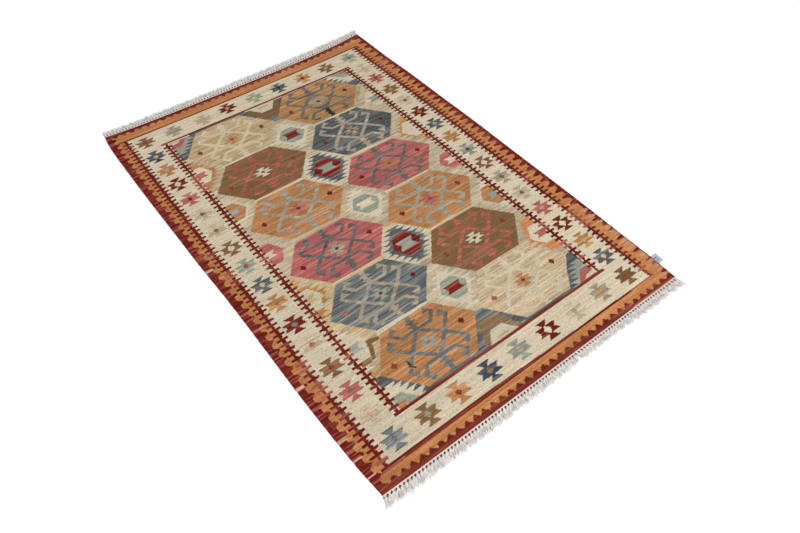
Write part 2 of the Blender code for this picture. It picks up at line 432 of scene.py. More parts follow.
near_stars = (
    (118, 109, "steel", "slate"), (238, 110, "olive", "drab"), (353, 110, "orange", "rust"),
    (474, 108, "indigo", "khaki"), (596, 108, "sage", "sand"), (717, 107, "madder", "cream"),
    (836, 106, "faint", "sage"), (960, 108, "drab", "ochre"), (1078, 102, "olive", "rust"),
)
far_stars = (
    (115, 1671, "olive", "rust"), (233, 1673, "oat", "flax"), (362, 1668, "stone", "drab"),
    (474, 1677, "madder", "blush"), (597, 1672, "sage", "straw"), (715, 1671, "slate", "soot"),
    (834, 1671, "orange", "madder"), (955, 1671, "olive", "drab"), (1079, 1676, "sage", "pewter"),
)
left_stars = (
    (109, 209, "stone", "blush"), (112, 303, "rose", "olive"), (114, 402, "olive", "rust"),
    (113, 505, "faint", "rose"), (111, 600, "madder", "steel"), (110, 705, "orange", "khaki"),
    (112, 796, "slate", "faint"), (112, 896, "sage", "rust"), (112, 995, "olive", "cream"),
    (112, 1099, "stone", "olive"), (113, 1199, "faint", "slate"), (112, 1293, "rose", "madder"),
    (112, 1389, "madder", "cream"), (113, 1480, "orange", "flax"), (112, 1571, "indigo", "sand"),
)
right_stars = (
    (1084, 203, "slate", "straw"), (1084, 297, "ochre", "stone"), (1083, 394, "madder", "cream"),
    (1082, 491, "rose", "blush"), (1081, 592, "faint", "pewter"), (1082, 698, "oat", "olive"),
    (1082, 796, "olive", "cream"), (1083, 891, "sage", "madder"), (1083, 987, "orange", "ochre"),
    (1083, 1088, "slate", "mist"), (1083, 1185, "madder", "khaki"), (1083, 1279, "faint", "coral"),
    (1084, 1376, "olive", "apricot"), (1083, 1477, "rose", "brick"), (1084, 1570, "stone", "flax"),
)
for stars, size in ((near_stars, 1.0), (left_stars, 0.94), (far_stars + right_stars, 0.96)):
    for x, y, yarn, core in stars:
        star(x, y, yarn, core, size)
print("stars laid, skeins used:", loom["skeins"])

# %% [markdown]
# ### Field
#
# Two columns of large hexagons with hooks fill the field. Small hexagons with a serrated surround
# sit between them down the middle, and halves of the same figure sit against the side combs. On a
# loom it all grows row by row. The chart is filled in layers instead, because that is simpler to
# write: the grounds first, then the surrounds, and the large hexagons last, on top.

# %% Shape of a small hexagon and its saw-edged surround
SAW_LEVELS = (16, 34, 52, 70, 86)
SAW_TIPS = (87, 73, 58, 44, 30)
SAW_DEPTH, SAW_ROOT = 24, 10


def saw_quarter(more=0):
    """Quarter outline of a surround whose slender teeth have a flat outer edge."""
    points = [(75 + more, 0)]
    for level, tip in zip(SAW_LEVELS, SAW_TIPS):
        tip += more
        points += [(tip - SAW_DEPTH, level - SAW_ROOT), (tip, level), (tip - SAW_DEPTH, level)]
    return points[:-1]


def small_hexagon(x, y, surround, fill, bow, half, flat, waist=1.0, bow_half=(0, 0)):
    """A small hexagon with a bow in it, on its surround. One of them has no bow."""
    new_skeins()
    if surround == "slate":
        motif(x, y, "ivory", ((92, 12), (92, 20), (40, 90), (30, 92)))
        motif(x, y, surround, saw_quarter(4))
    else:
        motif(x, y, surround, saw_quarter())
    motif(x, y, fill, ((half[0], 0), (flat, half[1])))
    if bow:
        motif(x, y, bow, ((bow_half[0] * waist, 0), bow_half))


print("corners of a whole saw edge:", len(whole(saw_quarter())))

# %% Grounds between the large hexagons
loom["window"] = (FIELD_LEFT, FIELD_RIGHT, FIELD_NEAR, FIELD_FAR)
GROUND_HALF = 121
LEFT_MIDDLE, RIGHT_MIDDLE = 390, 790
# each row: middle, then ground yarns at the left, in the middle and at the right
ground_rows = (
    (410, "sand", "faint", "stone"), (652, "straw", "straw", "faint"),
    (891, "stone", "stone", "faint"), (1133, "stone", "faint", "faint"),
    (1376, "stone", "faint", "faint"),
)
for y, *yarns in ground_rows:
    edges = (FIELD_LEFT, LEFT_MIDDLE, RIGHT_MIDDLE, FIELD_RIGHT)
    for yarn, left, right in zip(yarns, edges, edges[1:]):
        block(yarn, left, right, y - GROUND_HALF, y + GROUND_HALF)
for y in (545, 771, 1011):
    motif(594, y, "fawn", ((34, 0), (10, 15)))
for yarn, patch in (
    ("fawn", ((184, 318), (256, 318), (240, 343), (184, 343))),
    ("ochre", ((184, 297), (222, 297), (236, 311), (184, 314))),
    ("fawn", ((184, 478), (236, 478), (215, 500), (184, 500))),
    ("fawn", ((925, 1392), (990, 1462), (990, 1482), (966, 1478), (920, 1400))),
    ("apricot", ((1012, 325), (968, 330), (950, 368), (985, 378), (1012, 368))),
    ("apricot", ((1012, 492), (965, 488), (948, 452), (985, 440), (1012, 446))),
):
    weave(yarn, patch)
print("grounds laid:", len(ground_rows), "rows")

# %% The small hexagons in their places
# each: middle, surround, fill, bow, half size, half flat, the bow's waist and its half size
for row in (
    (596, 411, "ivory", "sage", "wine", (53, 43), 23, 0.68, (34, 16)),
    (594, 652.5, "slate", "wine", "sage", (57, 50), 24, 0.62, (35, 21)),
    (597, 891.5, "ivory", "sage", "cream", (57, 45), 24, 0.70, (36, 16)),
    (596, 1133, "slate", "wine", "sage", (59, 47), 26, 0.58, (35, 19)),
    (593.5, 1375, "ivory", "sage", "wine", (58, 43), 23, 0.72, (33, 18)),
    (190, 412, "ivory", "cream", "mist", (54, 42), 26, 0.62, (42, 16)),
):
    small_hexagon(*row)
weave("khaki", ((182, 344), (222, 344), (222, 363), (182, 363)))
weave("olive", ((222, 347), (236, 350), (248, 372), (256, 398), (284, 396), (288, 406), (262, 416),
                (246, 418), (240, 392), (228, 366)))
for row in (
    (190, 650, "ochre", "cream", "sand", (54, 44), 26, 0.62, (36, 16)),
    (195, 890, "faint", "rose", "cream", (56, 50), 26, 0.45, (28, 14)),
    (196, 1138, "ivory", "orange", "mist", (56, 44), 26, 0.80, (28, 14)),
    (192.5, 1379, "orange", "cream", "rose", (54, 45), 26, 0.62, (34, 14)),
    (1001.5, 408, "apricot", "cream", "rose", (62, 47), 30, 0.62, (38, 14)),
    (1005.5, 649, "ivory", "orange", "mist", (66, 48), 30, 0.80, (34, 14)),
    (1002.5, 885, "faint", "rose", "cream", (64, 46), 30, 0.60, (38, 15)),
    (1004.5, 1119, "ochre", "cream", None, (62, 48), 28),
    (1006, 1367, "stone", "cream", "sage", (60, 48), 28, 0.62, (48, 17)),
):
    small_hexagon(*row)
for yarn, half, bars in (
    ("cream", 3, ((612, 184, 226), (603, 190, 244), (712, 184, 222), (722, 200, 236))),
    ("apricot", 4, ((592, 184, 214), (566, 184, 232), (748, 184, 206))),
):
    for y, left, right in bars:
        bar_across(yarn, left, right, y - half, y + half)
print("small hexagons laid, skeins used:", loom["skeins"])

# %% Half arches at the ends of the middle column
FAR_ROOT = 1608.0          # where the far arch and the far left corner start


def end_arch(x, base, direction, band):
    """An ivory trapezoid in a stepped band and a slate surround, which grow out of an end line."""
    new_skeins()

    def arch(yarn, side):
        points = list(side) + [(-u, v) for u, v in side[::-1]]
        weave(yarn, [(x + u, base + direction * v) for u, v in points])

    arch("slate", ((122, 0), (18, 123)))
    arch("steel", ((54, 90), (18, 123)))
    arch(band, ((79, 0), (67, 13), (74, 13), (56, 32), (64, 32), (48, 52), (56, 52),
                (42, 70), (48, 70), (39, 88)))
    arch("ivory", ((58, 0), (24, 44)))
    arch("sand", ((26, 8), (22, 15)))


end_arch(595.5, FIELD_NEAR, 1, "khaki")
end_arch(596, FAR_ROOT, -1, "olive")
print("arches laid, skeins used:", loom["skeins"])

# %% Field corners
def corner(x, y, flip_x, flip_y, patches, teeth):
    """Patches and a row of teeth in a field corner, as distances in from the comb and the line."""
    new_skeins()
    for yarn, shape in patches:
        weave(yarn, [(x + flip_x * u, y + flip_y * v) for u, v in shape])
    for tip, level in teeth:
        shape = ((tip, level), (tip + 24, level + 15), (tip + 90, level + 15), (tip + 90, level))
        weave("slate", [(x + flip_x * u, y + flip_y * v) for u, v in shape])


SAW_CORNER = (
    ("ivory", ((-16, 0), (130, 0), (50, 84), (-16, 84))),
    ("slate", ((-16, 84), (60, 84), (34, 124), (-16, 124))),
    ("sage", ((-16, 15), (-16, 44), (36, 44), (76, 0), (40, 0))),
    ("orange", ((-16, 0), (-16, 17), (36, 17), (28, 0))),
)
SAW_CORNER_TEETH = ((86, 4), (67, 23), (54, 39), (42, 57), (32, 73))
PINK_CORNER = (
    ("sage", ((-16, 0), (130, 0), (10, 118), (-16, 118))),
    ("slate", ((-16, 80), (-16, 119), (10, 119), (44, 80))),
    ("rose", ((-16, 0), (-16, 41), (24, 41), (40, 26), (64, 0))),
    ("ivory", ((-16, 3), (-16, 19), (22, 14), (36, 3))),
)
PINK_CORNER_TEETH = ((66, 4), (52, 20), (40, 36), (28, 52), (14, 68))
corner(182, FIELD_NEAR, 1, 1, SAW_CORNER, SAW_CORNER_TEETH)
corner(1009, FIELD_FAR, -1, -1, SAW_CORNER, SAW_CORNER_TEETH)
corner(998, FIELD_NEAR, -1, 1, PINK_CORNER, PINK_CORNER_TEETH)
corner(194, FAR_ROOT, 1, -1, PINK_CORNER, PINK_CORNER_TEETH)
# thin dark strips between the corners and the arches
for left, right, near, far in ((280, 532, FIELD_NEAR, 178), (690, 905, FIELD_NEAR, 177),
                               (272, 520, 1604, FIELD_FAR)):
    block("slate", left, right, near, far)
print("corners laid, skeins used:", loom["skeins"])

# %% [markdown]
# ### Large hexagons
#
# Each large hexagon holds a lattice of bars: a diamond around a star, four arms that run on past
# its points, and brackets at the flats. Every arm and bracket ends in a hook, which is drawn as a
# triangle with its flat side inwards.

# %% Shape of a large hexagon
LARGE_STAR = ((21.5, 0), (36, 9.5), (5, 11), (17.5, 24.5))
LARGE_CORE = ((9, 0), (0, 7.5))
BAR_WIDTH = 12.5
EYE_LEFT, EYE_LEFT_FAR, EYE_RIGHT = -127, -137, 132      # the side diamonds, from the middle
# one quarter of the lattice, from the star's middle
LATTICE = (
    bar((0, 57), (65, 0), BAR_WIDTH),                    # the diamond round the star
    bar((63, -2), (115, 52), BAR_WIDTH),                 # an arm
    bar((55, 57), (84, 90), BAR_WIDTH),                  # a bracket
    ((122, 53), (99, 78), (80, 55), (100, 55)),          # the arm's hook
    ((87, 88), (66, 113), (48, 92), (65, 92)),           # the bracket's hook
    ((0, 52), (56, 52), (56, 63), (0, 63)),              # the bar that joins the brackets
    ((0, 57), (9, 57), (9, 111), (17, 116), (0, 116)),   # the stem to the flat
    ((0, 72), (19, 72), (19, 78), (0, 78)),              # and two rungs across the stem
    ((0, 89), (19, 89), (19, 95), (0, 95)),
)


def large_hexagon(x, star_y, flats, tilt, fill, hooks, star_yarn, core, eyes=("madder", "madder")):
    """A large hexagon with its hooked lattice, its star and its two side diamonds.

    No two are quite alike on the rug: each has its own flats, near and far, and its own tilt.
    """
    new_skeins()
    hooks = (hooks,) * 4 if isinstance(hooks, str) else hooks
    near, far = flats
    middle = (near + far) / 2
    loom["fit"] = (x, middle, near, far, tilt)
    motif(x, middle, fill, ((190, 0), (97, HALF_HEIGHT)))
    for side, eye in zip((EYE_LEFT_FAR if x < CHART_WIDTH / 2 else EYE_LEFT, EYE_RIGHT), eyes):
        motif(x + side, middle, eye, ((12, 0), (0, 13)))
    loom["fit"] = (x, star_y, near, far, tilt)
    for part in LATTICE:
        four(x, star_y, hooks, part)
    motif(x, star_y, star_yarn, LARGE_STAR)
    motif(x, star_y, core, LARGE_CORE)
    loom["fit"] = None


# gaps between the rows: their near and far edges, in the left and then in the right column
for left, right, gaps in (
    (290, 490, (("ivory", 410, 424), ("straw", 646, 661), ("faint", 885, 902),
                ("straw", 1134, 1146), ("ivory", 1367, 1377))),
    (690, 890, (("faint", 414, 417), ("straw", 645, 657), ("faint", 887, 899),
                ("straw", 1120, 1137), ("ivory", 1364, 1375))),
):
    for yarn, near, far in gaps:
        block(yarn, left, right, near, far)
print("parts in a quarter of the lattice:", len(LATTICE))

# %% The large hexagons in their places
large_hexagon(395.5, 297, (178, 411), 0.019, "orange", ("pewter", "steel", "pewter", "steel"),
              "sage", "rose", ("rust", "madder"))
for start, end in (((299, 284), (297, 262)), ((297, 264), (309, 249))):
    weave("soot", bar(start, end, 6))
# each: middle, the star's middle, near and far flat, tilt, fill, hooks, star, core and the two eyes
for row in (
    (393.5, 535, (424, 647.5), -0.022, "denim", "oat", "sage", "madder", ("rose", "madder")),
    (393, 779, (661, 885.5), 0, "rose", ("mauve", "mauve", "slate", "mauve"), "sage", "madder"),
    (393, 1018.5, (901, 1134), -0.030, "orange", "flax", "rose", "madder"),
    (393, 1257.5, (1145.5, 1367.5), 0, "olive", "coral", "ivory", "madder", ("rust", "rust")),
    (393.5, 1491.5, (1376.5, 1605.5), 0, "sand", "bone", "orange", "rust"),
    (796, 295.5, (177, 415), -0.011, "tan", "ivory", "orange", "rust", ("rose", "madder")),
    (794.5, 530.5, (416, 646.5), 0, "olive", "coral", "ivory", "madder", ("rust", "rust")),
    (795.5, 773.5, (656.5, 888), 0, "orange", "flax", "rose", "madder"),
    (794, 1012.5, (898.5, 1121), -0.025, "rose", "mauve", "amber", "rust"),
    (797, 1255, (1136, 1365), -0.022, "slate", "oat", "drab", "brick"),
    (795.5, 1491, (1373.5, 1612), -0.018, "amber", "pewter", "sage", "madder"),
):
    large_hexagon(*row)
# the last one has rings round its star, and a dark bar runs in from its near flat
for yarn, ring in (
    ("pewter", ((60, 0), (46, 26), (20, 44), (0, 47))),
    ("amber", ((48, 0), (36, 19), (16, 33), (0, 36))),
    ("sage", ((30, 0), (22, 14), (0, 23))),
    ("madder", ((11, 0), (0, 9))),
):
    motif(795.5, 1491, yarn, ring)
weave("soot", ((786, 1376), (805, 1376), (805, 1432), (786, 1432)))
loom["window"] = None
for x, ticks, pale in zip(INNER_COMBS, (INNER_LEFT_TICKS, INNER_RIGHT_TICKS), (
    ((400, 420), (850, 905), (1290, 1400)), ((225, 260), (300, 345), (410, 455)),
)):
    comb(x, FIELD_NEAR, FIELD_FAR, ticks, pale)
print("chart finished, skeins used:", loom["skeins"])

# %% [markdown]
# ## From the chart to the floor
#
# On the loom the chart is square, but the finished cloth is not. Beating and tension move the
# combs by a few millimetres, and the far rows follow the curve of the far end. This cell turns
# a chart place in millimetres into a place on the floor in metres.

# %% Lay the chart on the floor
# share along the rug, then millimetres that the outer and inner combs stray, from left to right
COMB_ROWS = (
    (0.00, 1.5, 3.0, 0.0, -0.5), (0.07, 1.5, 3.0, 0.0, -0.5), (0.14, -1.0, 2.5, -0.5, 0.5),
    (0.23, -5.5, -2.0, 2.0, 2.0), (0.31, -5.5, -2.0, -1.5, -1.0), (0.40, -3.0, -2.5, -2.5, -3.0),
    (0.51, -6.0, -6.0, -1.5, -3.0), (0.61, -9.0, -6.5, -4.0, -4.5), (0.78, -7.5, -8.0, -8.0, -9.5),
    (0.92, -5.0, -6.5, -14.0, -13.5), (1.00, -3.5, -6.0, -9.0, -8.0),
)
FAR_SAG_START, FAR_SAG_SPAN = 1600.0, 200.0
SKEW_START, SKEW_FULL = 1300.0, 1620.0
SKEW_PER_MILLIMETRE = -15.0 / 850.0
NEAR_CURVE_SPAN = 60.0     # the near end's own curve dies out over this much
WOBBLE = 0.5               # about how far the middle of the cloth strays
# metres: how high the underside lies on average, and the height of its long and short waves
LIFT, LONG_WAVE, SHORT_WAVE = 0.0006, 0.00028, 0.00012


def lay(x, y):
    """Floor place, in metres, of chart places given as arrays of millimetres."""
    along = y / CHART_LENGTH
    anchors = (0.0, OUTER_COMBS[0], INNER_COMBS[0], INNER_COMBS[1], OUTER_COMBS[1], CHART_WIDTH)
    strays = (
        -1000 * read_rows(SIDE_ROWS, LEFT_OUT, along),
        *(read_rows(COMB_ROWS, column, along) for column in (1, 2, 3, 4)),
        1000 * read_rows(SIDE_ROWS, RIGHT_OUT, along),
    )
    stray = np.zeros_like(x)
    for i in range(5):
        share = np.clip((x - anchors[i]) / (anchors[i + 1] - anchors[i]), 0, 1)
        here = (x >= anchors[i]) & (x <= anchors[i + 1])
        stray = np.where(here, strays[i] + (strays[i + 1] - strays[i]) * share, stray)
    across = x / CHART_WIDTH
    near = 1000 * read_rows(END_ROWS, NEAR_IN, across) * np.clip(1 - y / NEAR_CURVE_SPAN, 0, 1) ** 2
    far = np.clip((y - FAR_SAG_START) / FAR_SAG_SPAN, 0, 1) ** 2
    far = 1000 * read_rows(END_ROWS, FAR_IN, across) * far
    rise = np.clip((y - SKEW_START) / (SKEW_FULL - SKEW_START), 0, 1) ** 2
    fall = np.clip((CHART_LENGTH - y) / (CHART_LENGTH - SKEW_FULL), 0, 1)
    skew = SKEW_PER_MILLIMETRE * (x - CHART_WIDTH / 2) * rise * fall
    inner = np.sin(np.pi * along) * np.sin(np.pi * across)
    wobble = WOBBLE * inner * (np.sin(x / 61 + y / 190) + 0.6 * np.sin(x / 23 + y / 97))
    floor_x = (x + stray - CHART_WIDTH / 2) / 1000
    floor_y = (y + near - far + skew + wobble - CHART_LENGTH / 2) / 1000
    return floor_x, floor_y


def lift(x, y):
    """How far the cloth's underside is off the floor, in metres: it never lies quite flat."""
    slow = np.sin(7.3 * x + 1.9 * y + 0.6) * np.sin(4.1 * y - 2.3 * x + 1.1)
    quick = np.sin(19.0 * x - 8.0 * y) * np.sin(23.0 * y + 5.0 * x + 2.0)
    return LIFT + LONG_WAVE * slow + SHORT_WAVE * quick


left_edge, right_edge = lay(np.array([0.0, CHART_WIDTH]), np.full(2, CHART_LENGTH / 2))[0]
print(f"width half way along: {right_edge - left_edge:.4f} m")

# %% [markdown]
# ## Weaving the mesh
#
# A plain grid of the chart would have 360,000 squares on the upper side alone. The cloth is built
# as a weaver sees it instead: down each rib, a run of one colour is a single ladder of faces, cut
# only where a neighbouring rib changes colour too. So every colour edge is a real edge of the
# mesh. The underside is the same cloth seen from below, and a rounded rim joins the two.

# %% Ladders of faces
def ladder(left, right, left_points, right_points):
    """Faces between two rows of points, given the points' levels, which start and end alike."""
    faces = []
    i = j = 0
    while i < len(left) - 1 or j < len(right) - 1:
        next_left = left[i + 1] if i < len(left) - 1 else math.inf
        next_right = right[j + 1] if j < len(right) - 1 else math.inf
        face = [left_points[i], right_points[j]]
        if next_right <= next_left:
            j += 1
            face.append(right_points[j])
        if next_left <= next_right:
            i += 1
            face.append(left_points[i])
        faces.append(tuple(face))
    return faces


rungs = ladder((0, 2), (0, 1, 2), (0, 1), (2, 3, 4))
print("a ladder of 2 and 3 points:", rungs)

# %% One face of the cloth
LONGEST_RUN = 60.0         # millimetres, so that the cloth can still bend
SELVEDGE_STEP = 6.0        # millimetres between the turns of weft at the cloth's sides


def rib_runs(skeins, row):
    """For each rib the chart rows where its skein changes; for each line all points it needs."""
    rows, columns = skeins.shape
    breaks = []
    for column in range(columns):
        changes = np.flatnonzero(np.diff(skeins[:, column])) + 1
        breaks.append(np.concatenate(([0], changes, [rows])))
    marks = np.arange(0, rows + 1, round(LONGEST_RUN / row))
    lines = []
    selvedge = np.arange(0, rows + 1, round(SELVEDGE_STEP / row))
    for line in range(columns + 1):
        beside = breaks[max(line - 1, 0):line + 1]
        extra = selvedge if line in (0, columns) else marks
        lines.append(np.unique(np.concatenate([marks, extra, *beside])))
    return breaks, lines


def weave_face(skeins, rib, row):
    """Chart places, faces and cells of one face, and its border once round from near left."""
    breaks, lines = rib_runs(skeins, row)
    starts = np.concatenate(([0], np.cumsum([len(line) for line in lines])))
    faces, cells = [], []
    for column, cuts in enumerate(breaks):
        sides = lines[column], lines[column + 1]
        for near, far in zip(cuts[:-1], cuts[1:]):
            levels, numbers = [], []
            for line, first in zip(sides, starts[column:column + 2]):
                low, high = np.searchsorted(line, (near, far))
                levels.append(line[low:high + 1].tolist())
                numbers.append(range(int(first + low), int(first + high + 1)))
            made = ladder(*levels, *numbers)
            faces += made
            cells += [(near, column)] * len(made)
    x = np.concatenate([np.full(len(line), i * rib) for i, line in enumerate(lines)])
    y = np.concatenate(lines) * row
    border = np.concatenate((
        starts[:-2], np.arange(starts[-2], starts[-1] - 1),
        starts[:1:-1] - 1, np.arange(starts[1] - 1, 0, -1),
    ))
    print("face of", len(x), "points and", len(faces), "faces")
    return x, y, faces, cells, border


top_x, top_y, top_faces, top_cells, top_border = weave_face(skein_chart, RIB, PASS)
COARSER = 2                # the underside is woven from a chart with larger cells
bottom_x, bottom_y, bottom_faces, bottom_cells, bottom_border = weave_face(
    skein_chart[::COARSER, ::COARSER], COARSER * RIB, COARSER * PASS)

# %% Points, underside and rim
EDGE_INSET = 0.0011        # the face stops short of the outline, where the rim curves down
EDGE_DROP = 0.0004
SELVEDGE_WAVE = 0.0005
RIM_UPPER, RIM_LOWER = 0.72, 0.28    # heights of the rim's two rings, as shares of the thickness


def border_ring(x, y, border):
    """Outline points, the outward direction at each, and how far round the rug each one is."""
    floor_x, floor_y = lay(x[border], y[border])
    ring = np.stack((floor_x, floor_y), axis=1)
    tangent = np.roll(ring, -1, axis=0) - np.roll(ring, 1, axis=0)
    tangent /= np.linalg.norm(tangent, axis=1)[:, None]
    outward = np.stack((tangent[:, 1], -tangent[:, 0]), axis=1)
    step = np.abs(np.diff(x[border], append=0)) + np.abs(np.diff(y[border], append=0))
    distance = np.concatenate(([0.0], np.cumsum(step)))
    return ring, outward, distance


def face_points(x, y, border, ring, outward, height, sign):
    """Points of one face: inside the outline by a little, and drooping at the border."""
    floor_x, floor_y = lay(x, y)
    points = np.stack((floor_x, floor_y, lift(floor_x, floor_y) + height), axis=1)
    points[border, :2] = ring - outward * EDGE_INSET
    points[border, 2] += sign * EDGE_DROP
    return points


def rim_points(ring, outward, share):
    """A ring of points round the edge, part of the way up it."""
    wave = SELVEDGE_WAVE * np.random.default_rng(9).uniform(-1, 1, len(ring))
    spread = ring + outward * wave[:, None]
    return np.column_stack((spread, lift(ring[:, 0], ring[:, 1]) + THICKNESS * share))


top_ring, top_outward, top_round = border_ring(top_x, top_y, top_border)
bottom_ring, bottom_outward, bottom_round = border_ring(bottom_x, bottom_y, bottom_border)
top = face_points(top_x, top_y, top_border, top_ring, top_outward, THICKNESS, -1)
bottom = face_points(bottom_x, bottom_y, bottom_border, bottom_ring, bottom_outward, 0, 1)
points = np.concatenate((
    top, bottom, rim_points(top_ring, top_outward, RIM_UPPER),
    rim_points(bottom_ring, bottom_outward, RIM_LOWER),
))

# point numbers of the four rings from the face down to the underside, each closed on itself
upper = len(top) + len(bottom)
rings = (
    top_border, upper + np.arange(len(top_border)),
    upper + len(top_border) + np.arange(len(bottom_border)), len(top) + bottom_border,
)
rings = [ring.tolist() + ring[:1].tolist() for ring in rings]
rounds = (top_round, top_round, bottom_round, bottom_round)
rim_faces = []
for i in range(3):
    rim_faces += ladder(rounds[i], rounds[i + 1], rings[i], rings[i + 1])
print("rim faces:", len(rim_faces))

# %% [markdown]
# ### Colour on the mesh
#
# Each face corner carries the colour of its yarn and, in the alpha of the same attribute, how
# streaky that yarn is. No two skeins take the dye quite alike, so every skein is a little lighter
# or darker. The pale wool is made lighter unevenly, most at the near right corner and least at
# the near left one: partly as bleaching by the sun, partly as painted light. A second attribute
# numbers the skeins, so that streaks don't run on from one area to the next. The map covers the
# whole cloth once, so that the bake uses its full image.

# %% Dyes
SKEIN_SPREAD, SKEIN_TINT = 0.03, 0.006
STUDIO_LIGHT = 1.14        # the studio is this much brighter than the light the yarns are given in
# share by which the pale wool is lighter, partly as sun bleaching and partly as painted light,
# at the left and the right of the near and the far end
NEAR_BLEACH_AND_LIGHT, FAR_BLEACH_AND_LIGHT = (-0.07, 0.24), (0.13, 0.06)
# apricot takes this bleaching and painted light too, but a little less
APRICOT_BLEACH_AND_LIGHT = 0.9       # apricot bleaches a little less, and at the near end only
SKEIN_STEP = 0.37          # how far apart two skeins are in the noise that streaks them


def linear(colour):
    """Daylight colour, 0 to 255, as the linear values that a shader wants."""
    shares = np.array(colour, dtype=float) / 255
    return np.where(shares <= 0.04045, shares / 12.92, ((shares + 0.055) / 1.055) ** 2.4)


dice = np.random.default_rng(7)
skein_count = (loom["skeins"] + 1) * len(YARNS)
skein_tone = 1 + SKEIN_SPREAD * dice.standard_normal((skein_count, 1)).clip(-2, 2)
skein_tone = skein_tone + SKEIN_TINT * dice.standard_normal((skein_count, 3)).clip(-2, 2)
yarn_colours = np.array([linear(YARNS[name][0]) for name in YARN_NAMES]) / STUDIO_LIGHT
yarn_streaks = np.array([YARNS[name][1] for name in YARN_NAMES])
print(f"skeins toned: {skein_count}, from {skein_tone.min():.2f} to {skein_tone.max():.2f}")

# %% Make the cloth
chart_x = np.concatenate((top_x, bottom_x, top_x[top_border], bottom_x[bottom_border]))
chart_y = np.concatenate((top_y, bottom_y, top_y[top_border], bottom_y[bottom_border]))
faces = list(top_faces)
faces += [tuple(len(top) + v for v in reversed(face)) for face in bottom_faces]
faces += rim_faces
cells = top_cells + [(COARSER * near, COARSER * column) for near, column in bottom_cells]
for face in rim_faces:
    row = min(int(chart_y[face[0]] / PASS), ROWS - 1)
    cells.append((row, min(int(chart_x[face[0]] / RIB), COLUMNS - 1)))

cloth_mesh = bpy.data.meshes.new("kilim_cloth")
cloth_mesh.from_pydata(points.tolist(), [], faces)
sizes = np.array([len(face) for face in faces])
cell_rows, cell_columns = np.array(cells).T
face_yarn = yarn_chart[cell_rows, cell_columns]
face_skein = skein_chart[cell_rows, cell_columns]
dyes = np.ones((len(faces), 4))
dyes[:, :3] = yarn_colours[face_yarn] * skein_tone[face_skein]
dyes[:, 3] = yarn_streaks[face_yarn]
corner_dyes = np.repeat(dyes, sizes, axis=0)
corner_points = np.concatenate([np.array(face) for face in faces])
across = chart_x[corner_points] / CHART_WIDTH
along = chart_y[corner_points] / CHART_LENGTH
near_part = (1 - along) * np.interp(across, (0, 1), NEAR_BLEACH_AND_LIGHT)
far_part = along * np.interp(across, (0, 1), FAR_BLEACH_AND_LIGHT)
# cream and apricot are made lighter by place: partly sun bleaching, partly painted light
for name, bleach_and_light in (("cream", near_part + far_part), ("apricot", APRICOT_BLEACH_AND_LIGHT * near_part)):
    takes_bleach_and_light = np.repeat(face_yarn == YARN_NAMES.index(name), sizes)
    corner_dyes[:, :3] *= 1 + (bleach_and_light * takes_bleach_and_light)[:, None]
dye = cloth_mesh.attributes.new("dye", "FLOAT_COLOR", "CORNER")
dye.data.foreach_set("color", corner_dyes.ravel())
skein = cloth_mesh.attributes.new("skein", "FLOAT", "CORNER")
skein.data.foreach_set("value", np.repeat(face_skein * SKEIN_STEP, sizes).ravel())
print("cloth: dyed corners", len(corner_dyes))

# %% Map for the bake
BAKE_MARGIN = 0.004        # the face's map keeps this far from the image's edge
RIM_MARGIN = 0.001         # and the rim's map this far
MAPPED = 1 - 2 * BAKE_MARGIN


def bake_places(chart_places, far_edge):
    """Map the chart evenly. Points on the rim move out nearly to the edge of the image."""
    mapped = BAKE_MARGIN + MAPPED * chart_places / far_edge
    rim = slice(len(top) + len(bottom), None)
    mapped[rim] = np.where(chart_places[rim] == 0, RIM_MARGIN, mapped[rim])
    mapped[rim] = np.where(chart_places[rim] == far_edge, 1 - RIM_MARGIN, mapped[rim])
    return mapped[corner_points]


bake_map = cloth_mesh.uv_layers.new(name="OFBake")
bake_map.data.foreach_set("uv", np.column_stack((
    bake_places(chart_x, CHART_WIDTH), bake_places(chart_y, CHART_LENGTH))).ravel())
cloth_mesh.polygons.foreach_set("use_smooth", np.ones(len(faces), dtype=bool))
cloth_mesh.update()
cloth = bpy.data.objects.new("kilim_cloth", cloth_mesh)
bpy.context.scene.collection.objects.link(cloth)
print("cloth: triangles", int((sizes - 2).sum()))

# %% [markdown]
# ## Shader maths
#
# A finish is a graph of nodes. `Wire` wraps one output socket and overloads the operators, so
# that a formula reads as a formula and each step adds its Math node. `Finish.node` makes any
# other node: settings are set first, because some of them change which sockets there are.

# %% Helpers for finishes
class Wire:
    """One output socket of a finish."""

    def __init__(self, finish, socket):
        self.finish = finish
        self.socket = socket

    def math(self, operation, *values):
        wires = dict(enumerate(values))
        return self.finish.node("ShaderNodeMath", {"operation": operation}, wires)

    def __add__(self, other):
        return self.math("ADD", self, other)

    __radd__ = __add__

    def __mul__(self, other):
        return self.math("MULTIPLY", self, other)

    __rmul__ = __mul__

    def __sub__(self, other):
        return self.math("SUBTRACT", self, other)

    def __rsub__(self, other):
        return self.math("SUBTRACT", other, self)

    def __pow__(self, power):
        return self.math("POWER", self, power)

    def __rpow__(self, base):
        return self.math("POWER", base, self)

    def sine(self):
        return self.math("SINE", self)

    def size(self):
        return self.math("ABSOLUTE", self)

    def between(self, low, high):
        """0 below low, 1 above high, and a smooth rise in between."""
        wires = {"Value": self, "From Min": low, "From Max": high}
        settings = {"interpolation_type": "SMOOTHSTEP"}
        return self.finish.node("ShaderNodeMapRange", settings, wires)


